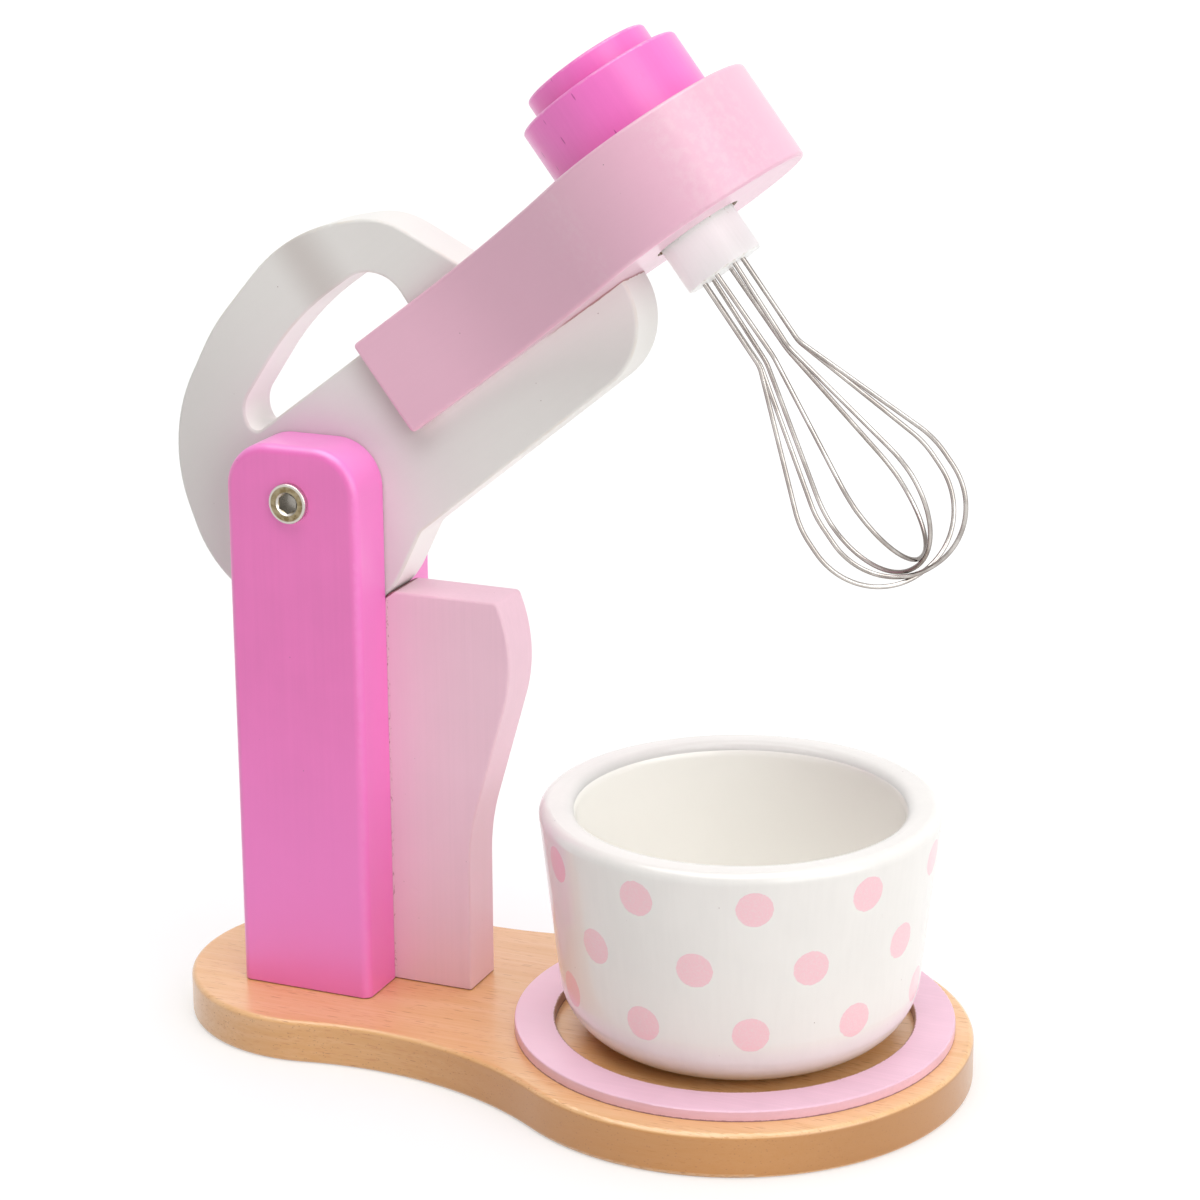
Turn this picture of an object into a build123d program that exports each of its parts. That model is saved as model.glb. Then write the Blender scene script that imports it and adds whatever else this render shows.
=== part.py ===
from build123d import *
from math import atan2, cos, pi, radians, sin, sqrt
import os

os.makedirs("parts", exist_ok=True)

# A wooden toy stand mixer, in millimetres. +X runs from the posts to the bowl, +Y to the left,
# +Z up. The origin is on the underside of the base board, under the centre of the bowl ring.
# The head is modelled level in an arm frame (x along the head, z square to it, pivot at its
# origin) and is stored tilted up against its stop.

# ---- base board -------------------------------------------------------------------------
BOARD_THICK = 12.0
FRONT_LOBE_R = 64.5
REAR_LOBE_R = 42.0
BOARD_WAIST_R = 97.0
PIVOT_TO_BOWL = 117.3
BOARD_ASIDE = 2.0
BOARD_EDGE_R = 1.4

# ---- bowl ring and bowl -----------------------------------------------------------------
RING_OUTER_R = 59.0
RING_WIDTH = 10.8
RING_THICK = 3.0
RING_EDGE_R = 0.4
BOWL_FORWARD = 1.5
BOWL_HEIGHT = 63.8
BOWL_FOOT_R = 46.3
BOWL_RIM_R = 53.5
BOWL_FOOT_ROUND = 17.5
BOWL_WALL = 9.8
BOWL_FLOOR = 9.0
BOWL_INNER_ROUND = 18.0
BOWL_INNER_FLARE = 3.2
BOWL_LIP_OUTER_R = 2.8
BOWL_LIP_INNER_R = 4.0

# ---- posts ------------------------------------------------------------------------------
POST_DEPTH = 39.2
POST_THICK = 16.0
POST_CORNER_R = 12.8
POST_EDGE_R = 2.5
POST_INNER_EDGE_R = 0.6
FOOT_EDGE_R = 0.5
POST_ABOVE_PIVOT = 15.2
PIVOT_HEIGHT = 150.9
LEFT_POST_SETBACK = 1.9

# ---- arm: tongue, hinge and handle from one plank -----------------------------------------
ARM_THICK = 14.8
ARM_GAP = 0.2
ARM_EDGE_R = 1.0
TONGUE_DROP = 26.3
TONGUE_TAPER = 1.97
TONGUE_START = 18.5
TONGUE_START_R = 5.0
TONGUE_NOSE_R = 20.0
HEEL_R = 33.8
HEEL_ROUND = 27.7
HEEL_CORNER = 2.6
REST_TILT = 37.15
LEG_FRONT = 74.6
# corners of the outer outline (x, z, radius) in the arm frame, from the front of the handle
# over its top to the back of the hinge
HANDLE_OUTER = [
    (62.1, 47.7, 22.6),
    (36.1, 60.3, 48.0),
    (0.5, 52.3, 57.5),
    (-31.9, 36.8, 46.8),
    (-50.0, -22.5, 35.8),
]
HEEL_X = -2.7
# corners of the finger hole, whose floor is the top of the tongue
HOLE_REAR = (-7.6, 2.6)
HOLE_UPPER = [(-6.6, 30.0, 8.0), (23.2, 40.5, 80.0), (54.3, 39.7, 11.0)]
HOLE_FRONT = (53.8, 1.0)
HOLE_FLOOR_DROP = 2.5

# ---- head block ---------------------------------------------------------------------------
HEAD_THICK = 28.0
HEAD_TOP = 24.55
HEAD_REAR = 35.8
HEAD_REAR_WIDTH = 24.1
HEAD_LOBE_R = 32.2
HEAD_FLANK_R = 127.7
HEAD_EDGE_R = 1.1
HEAD_LOBE_FORWARD = 0.6
HEAD_WEB = 21.9
WHISK_FORWARD = 13.9

# ---- front block between the posts ---------------------------------------------------------
CORE_REST_GAP = 0.4
CORE_STOP_GAP = 0.3
CORE_TOP_FRONT = 52.3
CORE_EDGE_R = 0.7
CORE_CORNER_R = 1.6
CORE_STOP_R = 4.0
CORE_FOOT_FRONT = 42.7
# corners of the front curve: forward of the pivot, height and radius
CORE_WAIST_X, CORE_WAIST_ABOVE_BOARD, CORE_WAIST_R = 42.9, 44.8, 62.0
CORE_NOSE_X, CORE_NOSE_BELOW_TOP, CORE_NOSE_R = 58.0, 15.7, 43.0
CORE_NOTCH_R = 41.5

# ---- knob, spindle and collar --------------------------------------------------------------
KNOB_BASE_R = 23.05
KNOB_BASE_HEIGHT = 16.4
KNOB_CAP_R = 17.65
KNOB_CAP_HEIGHT = 6.0
KNOB_EDGE_R = 1.0
KNOB_GAP = 0.3
SPINDLE_R = 5.0
SPINDLE_CLEARANCE = 0.08
SPINDLE_SEAT = 9.0
COLLAR_R = 10.8
COLLAR_BELOW = 12.7
COLLAR_HIDDEN = 7.6
COLLAR_CLEARANCE = 1.4
COLLAR_EDGE_R = 0.6
WASHER_THICK = 1.0
WASHER_MARGIN = 0.8

# ---- whisk: four nested wire loops, bent by hand ----------------------------------------------
WIRE_R = 0.6
LOOP_LEG_R = 6.1
LOOP_SEAT = 9.5
LOOPS_ASIDE = 0.4
LOOP_BULB = 66.0
LOOP_KINK_R = 8.0
LOOP_SHOULDER = 26.7
LOOP_SHOULDER_R = 24.0
LOOP_TIP_FLAT = 1.0
WHISK_FLOOR_GAP = 18.2
# each loop: its turn about the whisk's axis and its lean out of its own plane, in degrees, how
# far it bulges to either side, and how far its tip stays above the whisk's end
LOOPS = [
    (40.0, 2.0, 19.1, 20.9, 0.0),
    (3.0, -0.6, 21.6, 16.7, 0.05),
    (147.0, 2.0, 21.5, 21.5, 2.3),
    (95.0, -0.4, 21.5, 21.3, 3.5),
]

# ---- hardware -----------------------------------------------------------------------------------
SLEEVE_R = 4.0
SLEEVE_CLEARANCE = 0.08
PIVOT_HEAD_R = 5.5
PIVOT_HEAD_HEIGHT = 1.8
PIVOT_HEAD_EDGE_R = 0.5
PIVOT_THREAD_R = 3.0
PIVOT_THREAD_LENGTH = 24.0
HEX_ACROSS_FLATS = 5.0
HEX_DEPTH = 3.2
HEX_MOUTH_R = 3.2
HEX_MOUTH_DEPTH = 0.8
DOWEL_R = 3.0
DOWEL_SEAT = 8.0
DOWEL_HEIGHTS = [48.0, 78.0]
DOWEL_SETBACK = 4.0
SCREW_R = 2.0
SCREW_HEAD_R = 4.0
SCREW_HEAD_HEIGHT = 2.4
SCREW_SINK = 0.8
SCREW_BITE = 20.0
SCREW_SPREAD = 11.0
SLOT_WIDTH = 0.8
SLOT_DEPTH = 1.2
KNOB_SCREW_R = 1.75
KNOB_SCREW_HEAD_R = 3.5
KNOB_SCREW_BITE = 16.0
PIN_R = 0.8
PIN_LENGTH = 11.0
PIN_SINK = 0.8
PIN_FIRST = 9.0
PIN_STEP = 7.0
PIN_COUNT = 4

# ---- places worked out from the sizes above -------------------------------------------------------
PIVOT_X = -PIVOT_TO_BOWL
POST_INNER_Y = ARM_THICK / 2 + ARM_GAP
POST_OUTER_Y = POST_INNER_Y + POST_THICK
POST_TOP = PIVOT_HEIGHT + POST_ABOVE_PIVOT
POST_REAR_X = PIVOT_X - POST_DEPTH / 2
POST_FRONT_X = PIVOT_X + POST_DEPTH / 2

REST = Pos(PIVOT_X, 0, PIVOT_HEIGHT) * Rot(0, -REST_TILT, 0)
TAPER_SIN, TAPER_COS = sin(radians(TONGUE_TAPER)), cos(radians(TONGUE_TAPER))
HEAD_BOTTOM = HEAD_TOP - HEAD_THICK
WHISK_X = PIVOT_TO_BOWL + WHISK_FORWARD
SLOT_END = WHISK_X - HEAD_WEB
TONGUE_TOP = HEAD_TOP - HOLE_FLOOR_DROP

COLLAR_BOTTOM = HEAD_BOTTOM - COLLAR_BELOW
COLLAR_TOP = HEAD_BOTTOM + COLLAR_HIDDEN
POCKET_TOP = COLLAR_TOP + WASHER_THICK + KNOB_GAP
POCKET_R = COLLAR_R + COLLAR_CLEARANCE
KNOB_BOTTOM = HEAD_TOP + KNOB_GAP
KNOB_STEP = KNOB_BOTTOM + KNOB_BASE_HEIGHT

RING_INNER_R = RING_OUTER_R - RING_WIDTH
BOWL_FLOOR_Z = BOARD_THICK + BOWL_FLOOR
# the whisk reaches down to WHISK_FLOOR_GAP above the bowl's floor when the head is lowered
WHISK_TIP = (BOWL_FLOOR_Z + WHISK_FLOOR_GAP - PIVOT_HEIGHT + WHISK_X * TAPER_SIN) / TAPER_COS
CORE_TOP = PIVOT_HEIGHT - TONGUE_DROP - CORE_REST_GAP


def save(shape, node):
    """Write one sub-part as its own STEP file."""
    export_step(shape, f"parts/{node}.step")


def outline(corners):
    """A closed flat outline from corners given as (x, y, radius)."""
    points = [(x, y) for x, y, _ in corners]
    radii = [radius for _, _, radius in corners]
    return make_face(FilletPolyline(*points, radius=radii, close=True))


def plank(face, thick):
    """A plank of the given thickness, centred on the XZ plane, from an outline in x and z."""
    return extrude(Plane.XZ * face, amount=thick / 2, both=True)


def rod(radius, length, at, rotation=(0, 0, 0)):
    """A round bar that starts at a point and runs along +Z before it is turned."""
    upright = Cylinder(radius, length, align=(Align.CENTER, Align.CENTER, Align.MIN))
    return Pos(*at) * Rot(*rotation) * upright


def side_edges(solid, y_face, keep):
    """The edges of the two flat sides at y = +-y_face that keep() accepts by their centre."""
    edges = [e for e in solid.edges() if abs(abs(e.center().Y) - y_face) < 1e-4]
    flat = [e for e in edges if abs(e.bounding_box().size.Y) < 1e-4]
    return [e for e in flat if keep(e.center())]


def cross_slot(width, reach, depth, at):
    """The cross recess of a screw, cut upwards from a point."""
    bar = Box(2 * reach, width, depth, align=(Align.CENTER, Align.CENTER, Align.MIN))
    return Pos(*at) * (bar + Rot(0, 0, 90) * bar)


def wood_screw(shank_r, head_r, head_height, length):
    """A countersunk wood screw with its head's face at z = 0 and its shank along +Z."""
    head = Cone(head_r, shank_r, head_height, align=(Align.CENTER, Align.CENTER, Align.MIN))
    return head + rod(shank_r, length - head_height, (0, 0, head_height))


# ---- base board ---------------------------------------------------------------------------------

def board_outline():
    """Two round lobes joined by hollow waists."""
    reach_front = FRONT_LOBE_R + BOARD_WAIST_R
    reach_rear = REAR_LOBE_R + BOARD_WAIST_R
    waist_back = (reach_front**2 - reach_rear**2 + PIVOT_TO_BOWL**2) / (2 * PIVOT_TO_BOWL)
    waist_out = sqrt(reach_front**2 - waist_back**2)
    front_x = -waist_back * FRONT_LOBE_R / reach_front
    front_y = waist_out * FRONT_LOBE_R / reach_front
    rear_x = PIVOT_X + (PIVOT_TO_BOWL - waist_back) * REAR_LOBE_R / reach_rear
    rear_y = waist_out * REAR_LOBE_R / reach_rear
    waist_y = waist_out - BOARD_WAIST_R
    arcs = [
        ThreePointArc((front_x, front_y), (FRONT_LOBE_R, 0), (front_x, -front_y)),
        ThreePointArc((front_x, -front_y), (-waist_back, -waist_y), (rear_x, -rear_y)),
        ThreePointArc((rear_x, -rear_y), (PIVOT_X - REAR_LOBE_R, 0), (rear_x, rear_y)),
        ThreePointArc((rear_x, rear_y), (-waist_back, waist_y), (front_x, front_y)),
    ]
    return make_face(arcs)


def screw_places():
    """Where the base screws come up: two into each post and two into the front block."""
    post_y = (POST_INNER_Y + POST_OUTER_Y) / 2
    posts = [(PIVOT_X + step * SCREW_SPREAD, side * post_y) for side in (-1, 1) for step in (-1, 1)]
    front = PIVOT_X + CORE_FOOT_FRONT - SCREW_SPREAD
    return posts + [(front, 0), (front - 2 * SCREW_SPREAD, 0)]


def make_base_screws():
    length = BOARD_THICK - SCREW_SINK + SCREW_BITE
    screw = wood_screw(SCREW_R, SCREW_HEAD_R, SCREW_HEAD_HEIGHT, length)
    screw -= cross_slot(SLOT_WIDTH, SCREW_HEAD_R * 0.6, SLOT_DEPTH, (0, 0, 0))
    return [Pos(x, y, SCREW_SINK) * screw for x, y in screw_places()]


def screw_holes():
    """What the base screws take out of the board, the posts and the front block."""
    length = BOARD_THICK - SCREW_SINK + SCREW_BITE
    plain = wood_screw(SCREW_R, SCREW_HEAD_R, SCREW_HEAD_HEIGHT, length)
    plain += rod(SCREW_HEAD_R, SCREW_SINK, (0, 0, -SCREW_SINK))
    return [Pos(x, y, SCREW_SINK) * plain for x, y in screw_places()]


def make_board(holes):
    board = extrude(board_outline(), BOARD_THICK)
    rims = board.faces().sort_by(Axis.Z)[0].edges() + board.faces().sort_by(Axis.Z)[-1].edges()
    return Pos(0, -BOARD_ASIDE, 0) * fillet(rims, BOARD_EDGE_R) - holes


# ---- ring and bowl --------------------------------------------------------------------------------

def make_ring():
    middle = BOARD_THICK + RING_THICK / 2
    ring = Cylinder(RING_OUTER_R, RING_THICK) - Cylinder(RING_INNER_R, RING_THICK)
    ring = fillet(ring.faces().sort_by(Axis.Z)[-1].edges(), RING_EDGE_R)
    return Pos(0, 0, middle) * ring


def make_bowl():
    """A turned bowl: the wall leans out, the foot and the inside are rounded."""
    lip_inner = BOWL_RIM_R - BOWL_WALL
    outline_half = [
        (0, 0, 0),
        (BOWL_FOOT_R, 0, BOWL_FOOT_ROUND),
        (BOWL_RIM_R, BOWL_HEIGHT, BOWL_LIP_OUTER_R),
        (lip_inner, BOWL_HEIGHT, BOWL_LIP_INNER_R),
        (lip_inner - BOWL_INNER_FLARE, BOWL_FLOOR, BOWL_INNER_ROUND),
        (0, BOWL_FLOOR, 0),
    ]
    bowl = revolve(Plane.XZ * outline(outline_half), Axis.Z)
    return Pos(BOWL_FORWARD, 0, BOARD_THICK) * bowl


# ---- posts and front block -------------------------------------------------------------------------

def make_posts(cuts):
    """The right post (-Y) and the left post (+Y), with their inner edges left nearly square."""
    profile = outline([
        (POST_REAR_X, BOARD_THICK, 0),
        (POST_FRONT_X, BOARD_THICK, 0),
        (POST_FRONT_X, POST_TOP, POST_CORNER_R),
        (POST_REAR_X, POST_TOP, POST_CORNER_R),
    ])
    post = plank(profile, POST_THICK)
    above_foot = BOARD_THICK + POST_EDGE_R
    outer = side_edges(post, POST_THICK / 2, lambda c: c.Z > above_foot and c.Y < 0)
    post = fillet(outer, POST_EDGE_R)
    inner = side_edges(post, POST_THICK / 2, lambda c: c.Z > above_foot and c.Y > 0)
    post = fillet(inner, POST_INNER_EDGE_R)
    post = fillet(post.faces().sort_by(Axis.Z)[0].edges(), FOOT_EDGE_R)
    middle = (POST_INNER_Y + POST_OUTER_Y) / 2
    right = Pos(0, -middle, 0) * post - cuts
    left = Pos(-LEFT_POST_SETBACK, middle, 0) * mirror(post, Plane.XZ) - cuts
    return [right, left]


def stop_corner_x():
    """How far in front of the pivot the block's rear top edge stands, to stop the heel."""
    drop = PIVOT_HEIGHT - CORE_TOP + CORE_STOP_R
    reach = HEEL_R + CORE_STOP_GAP + CORE_STOP_R
    return sqrt(reach**2 - drop**2) - CORE_STOP_R


def make_core(cuts):
    """The block between the posts: curved front, flat top and a hollow that clears the heel."""
    stop_x = PIVOT_X + stop_corner_x()
    foot_x = PIVOT_X + CORE_FOOT_FRONT
    profile = outline([
        (stop_x, BOARD_THICK, 0),
        (foot_x, BOARD_THICK, 0),
        (PIVOT_X + CORE_WAIST_X, BOARD_THICK + CORE_WAIST_ABOVE_BOARD, CORE_WAIST_R),
        (PIVOT_X + CORE_NOSE_X, CORE_TOP - CORE_NOSE_BELOW_TOP, CORE_NOSE_R),
        (PIVOT_X + CORE_TOP_FRONT, CORE_TOP, CORE_CORNER_R),
        (stop_x, CORE_TOP, CORE_STOP_R),
    ])
    front = plank(profile, 2 * POST_INNER_Y)
    shown = side_edges(front, POST_INNER_Y, lambda c: c.Z > BOARD_THICK + 1 and c.X > stop_x + 0.1)
    front = fillet(shown, CORE_EDGE_R)
    foot = front.faces().sort_by(Axis.Z)[0].edges()
    front = fillet(foot.filter_by(lambda e: e.center().X > stop_x + 0.1), FOOT_EDGE_R)

    rear_length = stop_x - POST_REAR_X
    rear_height = CORE_TOP - CORE_NOTCH_R / 4 - BOARD_THICK
    low_corner = (Align.MIN, Align.CENTER, Align.MIN)
    rear = Box(rear_length, 2 * POST_INNER_Y, rear_height, align=low_corner)
    rear = Pos(POST_REAR_X, 0, BOARD_THICK) * rear
    hollow = Cylinder(CORE_NOTCH_R, 2 * POST_INNER_Y, rotation=(90, 0, 0))
    rear -= Pos(PIVOT_X, 0, PIVOT_HEIGHT) * hollow
    return rear + front - cuts


def make_dowels():
    """Cross dowels that tie the front block to both posts."""
    length = 2 * (POST_INNER_Y + DOWEL_SEAT)
    x = PIVOT_X - DOWEL_SETBACK
    return [
        rod(DOWEL_R, length, (x, length / 2, BOARD_THICK + height), (90, 0, 0))
        for height in DOWEL_HEIGHTS
    ]


# ---- pivot hardware ---------------------------------------------------------------------------------

def pivot_disc():
    """A low cap with a hex socket; its face is at y = 0 and it looks towards -Y."""
    disc = rod(PIVOT_HEAD_R, PIVOT_HEAD_HEIGHT, (0, 0, 0), (-90, 0, 0))
    rim = disc.faces().sort_by(Axis.Y)[0].edges()
    return fillet(rim, PIVOT_HEAD_EDGE_R)


def hex_socket():
    """A hex socket with a countersunk mouth, cut from y = 0 towards +Y."""
    hexagon = RegularPolygon(HEX_ACROSS_FLATS / 2, 6, major_radius=False, rotation=90)
    socket = extrude(Plane.XZ * hexagon, amount=-HEX_DEPTH)
    mouth = Cone(HEX_MOUTH_R, HEX_MOUTH_R - HEX_MOUTH_DEPTH, HEX_MOUTH_DEPTH, rotation=(-90, 0, 0))
    return socket + Pos(0, HEX_MOUTH_DEPTH / 2, 0) * mouth


def make_sleeve_nut():
    """The threaded sleeve that the arm turns on, put in from the right."""
    face_y = -POST_OUTER_Y - PIVOT_HEAD_HEIGHT
    sleeve = rod(SLEEVE_R, 2 * POST_OUTER_Y, (0, -POST_OUTER_Y, 0), (-90, 0, 0))
    thread_from = POST_OUTER_Y - PIVOT_THREAD_LENGTH
    thread = rod(PIVOT_THREAD_R, PIVOT_THREAD_LENGTH, (0, thread_from, 0), (-90, 0, 0))
    head = Pos(0, face_y, 0) * (pivot_disc() - hex_socket())
    body = sleeve - thread - Pos(0, face_y, 0) * hex_socket()
    return Pos(PIVOT_X, 0, PIVOT_HEIGHT) * (body + head)


def make_pivot_bolt():
    """The bolt that closes the sleeve from the left."""
    face_y = POST_OUTER_Y + PIVOT_HEAD_HEIGHT
    thread_from = POST_OUTER_Y - PIVOT_THREAD_LENGTH
    shank = rod(PIVOT_THREAD_R, PIVOT_THREAD_LENGTH, (0, thread_from, 0), (-90, 0, 0))
    socket = Pos(0, face_y, 0) * Rot(0, 0, 180) * hex_socket()
    head = Pos(0, face_y, 0) * Rot(0, 0, 180) * pivot_disc()
    return Pos(PIVOT_X, 0, PIVOT_HEIGHT) * (shank + head - socket)


# ---- arm and head, in the arm frame ---------------------------------------------------------------------

def underside(x):
    """The height of the tongue's underside, which lies level when the head is lowered."""
    return (x * TAPER_SIN - TONGUE_DROP) / TAPER_COS


def make_arm():
    outer = outline([
        (SLOT_END, underside(SLOT_END), TONGUE_NOSE_R),
        (SLOT_END, TONGUE_TOP, 0),
        (LEG_FRONT, TONGUE_TOP, 0),
        *HANDLE_OUTER,
        (HEEL_X, -HEEL_R - HEEL_CORNER, HEEL_ROUND),
        (TONGUE_START, underside(TONGUE_START), TONGUE_START_R),
    ])
    hole = outline([
        (HOLE_FRONT[0], TONGUE_TOP, HOLE_FRONT[1]),
        *reversed(HOLE_UPPER),
        (HOLE_REAR[0], TONGUE_TOP, HOLE_REAR[1]),
    ])
    arm = plank(outer, ARM_THICK)
    arm = fillet(side_edges(arm, ARM_THICK / 2, lambda c: True), ARM_EDGE_R)
    ring_hole = plank(hole, ARM_THICK)
    arm -= ring_hole
    rim = side_edges(arm, ARM_THICK / 2, lambda c: in_hole(c))
    arm = fillet(rim, ARM_EDGE_R)
    # the tenon fills the head's slot in front of the handle, flush with the head's top
    tenon_rear = LEG_FRONT - ARM_EDGE_R
    tenon = Box(SLOT_END - tenon_rear, ARM_THICK, HEAD_THICK, align=(Align.MIN, Align.CENTER, Align.MIN))
    arm += Pos(tenon_rear, 0, HEAD_BOTTOM) * tenon
    bore = Cylinder(SLEEVE_R + SLEEVE_CLEARANCE, ARM_THICK, rotation=(90, 0, 0))
    return arm - bore


def in_hole(centre):
    """Whether an edge of the arm's side belongs to the finger hole."""
    top = max(z for _, z, _ in HOLE_UPPER)
    return HOLE_REAR[0] - 1 < centre.X < HOLE_FRONT[0] + 1 and TONGUE_TOP - 0.1 < centre.Z < top + 1


def head_outline():
    """The paddle-shaped plan of the head: square rear, hollow flanks, round front."""
    half = HEAD_REAR_WIDTH / 2
    lobe_centre = WHISK_X + HEAD_LOBE_FORWARD
    reach = HEAD_LOBE_R + HEAD_FLANK_R
    flank_y = half + HEAD_FLANK_R
    flank_x = lobe_centre - sqrt(reach**2 - flank_y**2)
    lobe_x = lobe_centre + (flank_x - lobe_centre) * HEAD_LOBE_R / reach
    lobe_y = flank_y * HEAD_LOBE_R / reach
    half_turn = (pi / 2 - atan2(flank_y, lobe_centre - flank_x)) / 2
    mid_x = flank_x + HEAD_FLANK_R * sin(half_turn)
    mid_y = flank_y - HEAD_FLANK_R * cos(half_turn)
    edges = [
        Line((HEAD_REAR, half), (HEAD_REAR, -half)),
        Line((HEAD_REAR, -half), (flank_x, -half)),
        ThreePointArc((flank_x, -half), (mid_x, -mid_y), (lobe_x, -lobe_y)),
        ThreePointArc((lobe_x, -lobe_y), (lobe_centre + HEAD_LOBE_R, 0), (lobe_x, lobe_y)),
        ThreePointArc((lobe_x, lobe_y), (mid_x, mid_y), (flank_x, half)),
        Line((flank_x, half), (HEAD_REAR, half)),
    ]
    return make_face(edges)


def make_head(pins):
    head = Pos(0, 0, HEAD_BOTTOM) * extrude(head_outline(), HEAD_THICK)
    rear_edges = head.edges().filter_by(Axis.Z).sort_by(Axis.X)[:2]
    head = fillet(rear_edges, HEAD_EDGE_R)
    rims = head.faces().sort_by(Axis.Z)[0].edges() + head.faces().sort_by(Axis.Z)[-1].edges()
    head = fillet(rims, HEAD_EDGE_R)
    slot = Box(SLOT_END, ARM_THICK, 2 * HEAD_THICK, align=(Align.MIN, Align.CENTER, Align.CENTER))
    pocket = rod(POCKET_R, POCKET_TOP - HEAD_BOTTOM, (WHISK_X, 0, HEAD_BOTTOM))
    bore = rod(SPINDLE_R + SPINDLE_CLEARANCE, HEAD_THICK, (WHISK_X, 0, HEAD_BOTTOM))
    return head - slot - pocket - bore - pins


def make_head_pins():
    """Panel pins through the thin cheeks into the arm, from the right and the left in turn."""
    middle = HEAD_TOP - HEAD_THICK / 2
    pins = []
    for index in range(PIN_COUNT):
        side = 1 if index % 2 else -1
        x = HEAD_REAR + PIN_FIRST + index * PIN_STEP
        start = side * (HEAD_REAR_WIDTH / 2 - PIN_SINK)
        pins.append(rod(PIN_R, PIN_LENGTH, (x, start, middle), (90 * side, 0, 0)))
    return pins


# ---- whisk drive, in the arm frame ------------------------------------------------------------------------

def make_spindle():
    bottom = COLLAR_TOP - SPINDLE_SEAT
    length = KNOB_BOTTOM + SPINDLE_SEAT - bottom
    return rod(SPINDLE_R, length, (WHISK_X, 0, bottom))


def make_washer():
    outer = rod(COLLAR_R - WASHER_MARGIN, WASHER_THICK, (WHISK_X, 0, COLLAR_TOP))
    return outer - rod(SPINDLE_R, WASHER_THICK, (WHISK_X, 0, COLLAR_TOP))


def make_collar(cuts):
    collar = rod(COLLAR_R, COLLAR_TOP - COLLAR_BOTTOM, (WHISK_X, 0, COLLAR_BOTTOM))
    ends = collar.faces().sort_by(Axis.Z)[0].edges()
    return fillet(ends, COLLAR_EDGE_R) - cuts


def make_knob_screw():
    """Head up under the cap, shank down into the spindle."""
    length = KNOB_STEP - KNOB_BOTTOM - SPINDLE_SEAT + KNOB_SCREW_BITE
    head_height = KNOB_SCREW_HEAD_R - KNOB_SCREW_R
    screw = wood_screw(KNOB_SCREW_R, KNOB_SCREW_HEAD_R, head_height, length)
    return Pos(WHISK_X, 0, KNOB_STEP) * Rot(180, 0, 0) * screw


def make_knob_base(cuts):
    base = rod(KNOB_BASE_R, KNOB_BASE_HEIGHT, (WHISK_X, 0, KNOB_BOTTOM))
    return fillet(base.faces().sort_by(Axis.Z)[-1].edges(), KNOB_EDGE_R) - cuts


def make_knob_cap():
    cap = rod(KNOB_CAP_R, KNOB_CAP_HEIGHT, (WHISK_X, 0, KNOB_STEP))
    return fillet(cap.faces().sort_by(Axis.Z)[-1].edges(), KNOB_EDGE_R)


def make_wire_loop(turn, lean, bulge, other_bulge, above_tip):
    """One flat loop of wire, hand-bent a little wider on one side, leaning from the collar."""
    tip = WHISK_TIP + above_tip
    kink = WHISK_TIP + LOOP_BULB
    shoulder = WHISK_TIP + LOOP_SHOULDER
    tip_r = (bulge + other_bulge - LOOP_TIP_FLAT) / 2
    corners = [
        (LOOP_LEG_R, kink, LOOP_KINK_R),
        (bulge, shoulder, LOOP_SHOULDER_R),
        (bulge, tip, tip_r),
        (-other_bulge, tip, tip_r),
        (-other_bulge, shoulder, LOOP_SHOULDER_R),
        (-LOOP_LEG_R, kink, LOOP_KINK_R),
    ]
    start = (LOOP_LEG_R, COLLAR_BOTTOM + LOOP_SEAT)
    points = [start] + [(x, z) for x, z, _ in corners] + [(-start[0], start[1])]
    path = Plane.XZ * FilletPolyline(*points, radius=[radius for _, _, radius in corners])
    section = Plane(origin=(start[0], 0, start[1]), z_dir=(0, 0, -1)) * Circle(WIRE_R)
    loop = Pos(0, 0, -COLLAR_BOTTOM) * sweep(section, path)
    exit_point = Pos(WHISK_X - LOOPS_ASIDE, -LOOPS_ASIDE, COLLAR_BOTTOM)
    return exit_point * Rot(0, 0, turn) * Rot(lean, 0, 0) * loop


# ---- build and save ------------------------------------------------------------------------------------------

screws = make_base_screws()
screw_cuts = screw_holes()
dowels = make_dowels()
sleeve_bore = Pos(PIVOT_X, 0, PIVOT_HEIGHT) * Cylinder(SLEEVE_R, 2 * POST_OUTER_Y, rotation=(90, 0, 0))
right_post, left_post = make_posts(screw_cuts + dowels + [sleeve_bore])

save(make_board(screw_cuts), "base_board")
save(make_ring(), "bowl_ring")
save(make_bowl(), "bowl")
save(right_post, "right_post")
save(left_post, "left_post")
save(make_core(screw_cuts + dowels), "front_block")
save(Compound(children=dowels), "post_dowels")
save(Compound(children=screws), "base_screws")
save(make_sleeve_nut(), "pivot_sleeve_nut")
save(make_pivot_bolt(), "pivot_bolt")

spindle = make_spindle()
knob_screw = make_knob_screw()
head_pins = make_head_pins()
loops = [make_wire_loop(*bends) for bends in LOOPS]

save(REST * (make_arm() - head_pins), "arm")
save(REST * make_head(head_pins), "head_block")
save(REST * Compound(children=head_pins), "head_pins")
save(REST * (spindle - knob_screw), "spindle")
save(REST * make_washer(), "thrust_washer")
save(REST * make_collar([spindle] + loops), "whisk_collar")
save(REST * make_knob_base([spindle, knob_screw]), "knob_base")
save(REST * make_knob_cap(), "knob_cap")
save(REST * knob_screw, "knob_screw")
for index, loop in enumerate(loops):
    save(REST * loop, f"whisk_wire_{index + 1}")
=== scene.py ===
import math

import bpy
from mathutils import Matrix, Vector

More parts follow.
